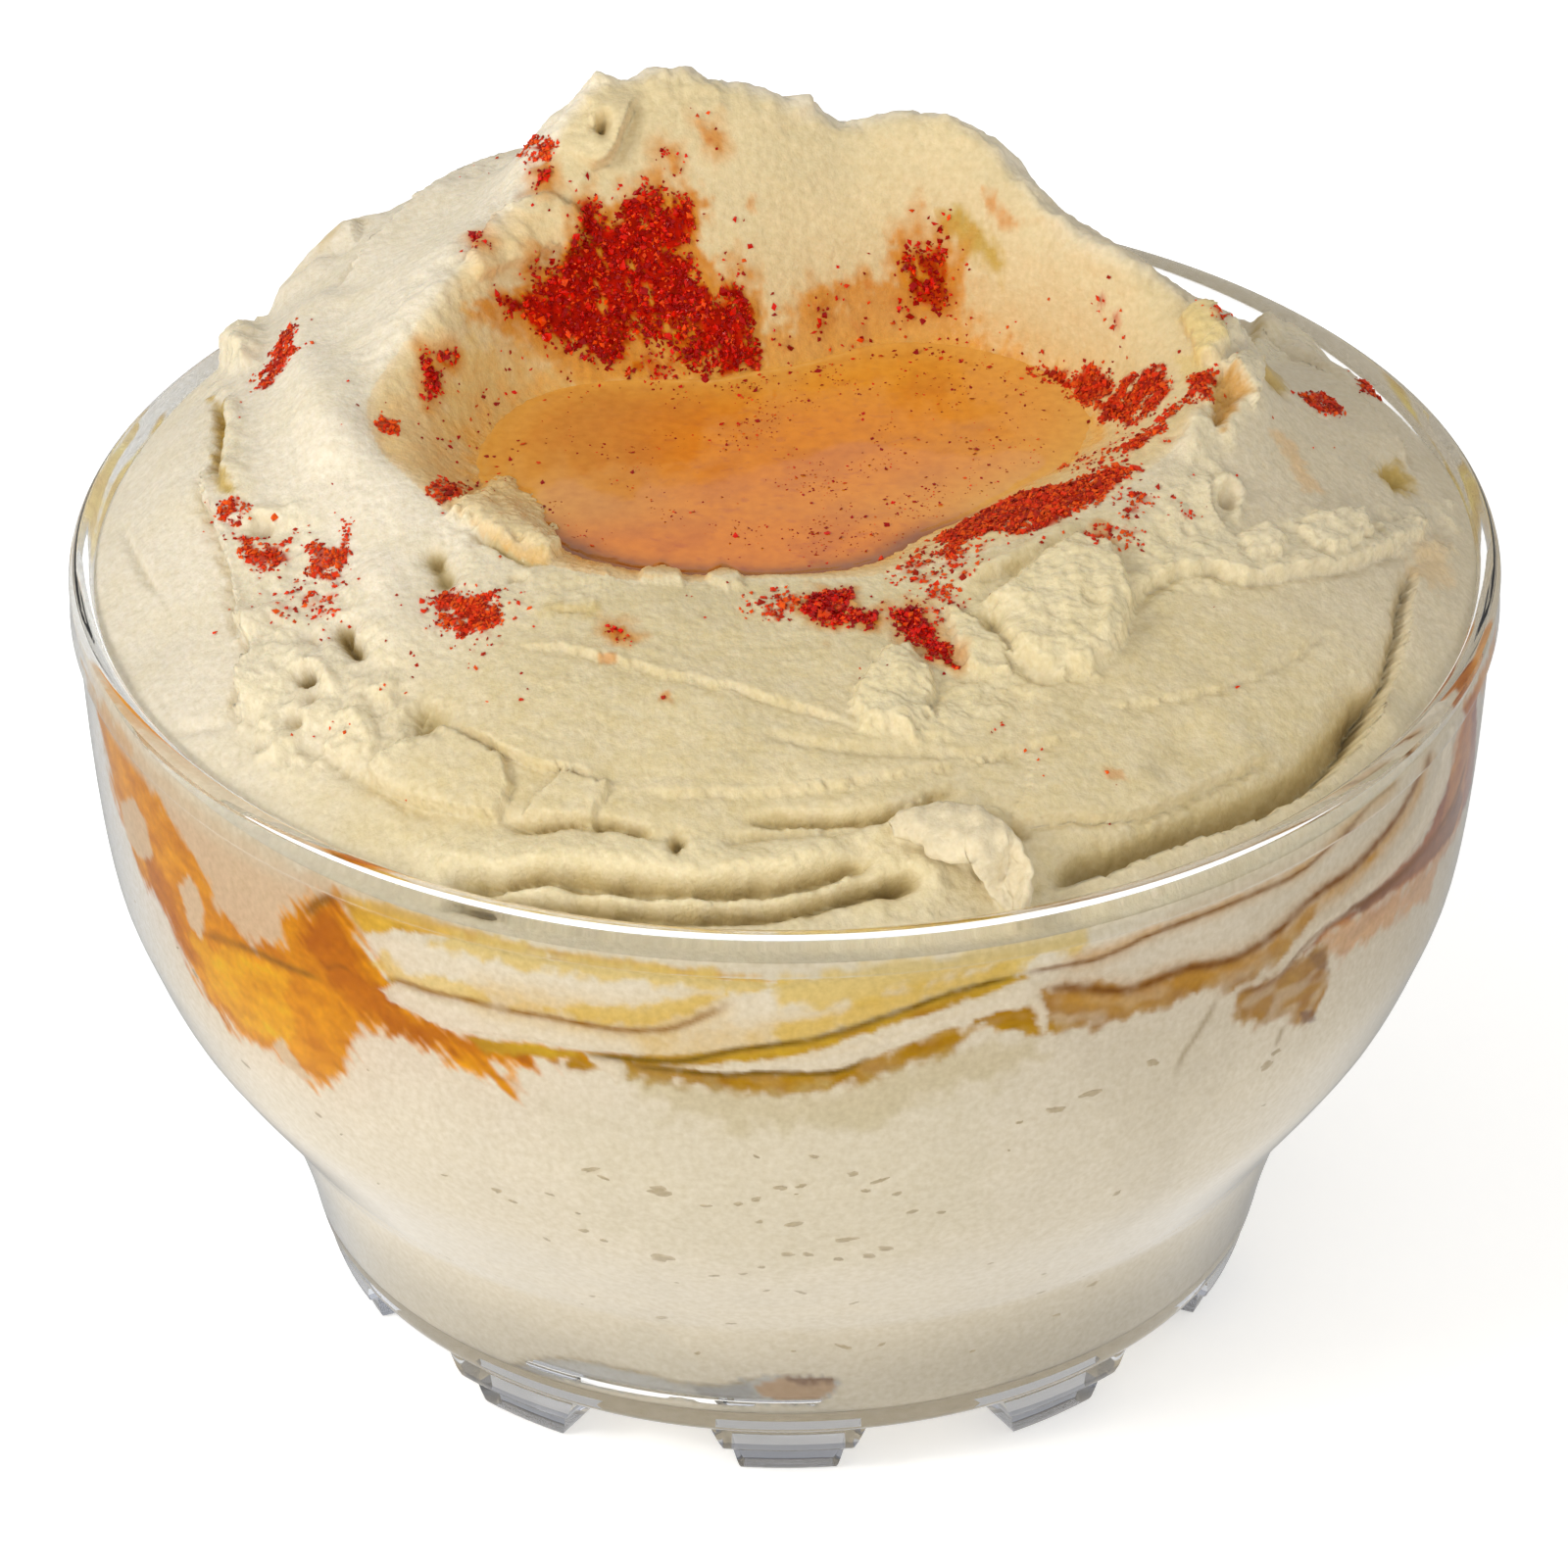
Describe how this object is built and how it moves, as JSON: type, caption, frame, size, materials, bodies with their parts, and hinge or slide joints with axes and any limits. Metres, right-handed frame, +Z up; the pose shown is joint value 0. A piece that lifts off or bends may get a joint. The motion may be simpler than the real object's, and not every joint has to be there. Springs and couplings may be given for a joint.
{
  "type": "hummus in a glass bowl",
  "caption": "Footed round glass bowl heaped with swirled hummus, with a pool of oil in the crater on top and ground paprika over it.",
  "frame": {"origin": "on the ground, in the middle of the ring of feet, on the bowl's axis", "axes": "+Z up along the bowl's axis; -Y is the front of the heap, where the crater is lowest, with one foot centred on it; +X is to the right seen from the front"},
  "size_m": [0.14, 0.14, 0.1101],
  "materials": {
    "bowl_glass": "clear polished glass",
    "hummus_paste": "thick moist paste, fine grained, pale beige with amber oil at the glass",
    "red_oil": "wet glossy orange oil with specks"
  },
  "bodies": {
    "root": {"bowl": "bowl_glass", "hummus": "hummus_paste", "oil_pool": "red_oil"}
  },
  "joints": []
}
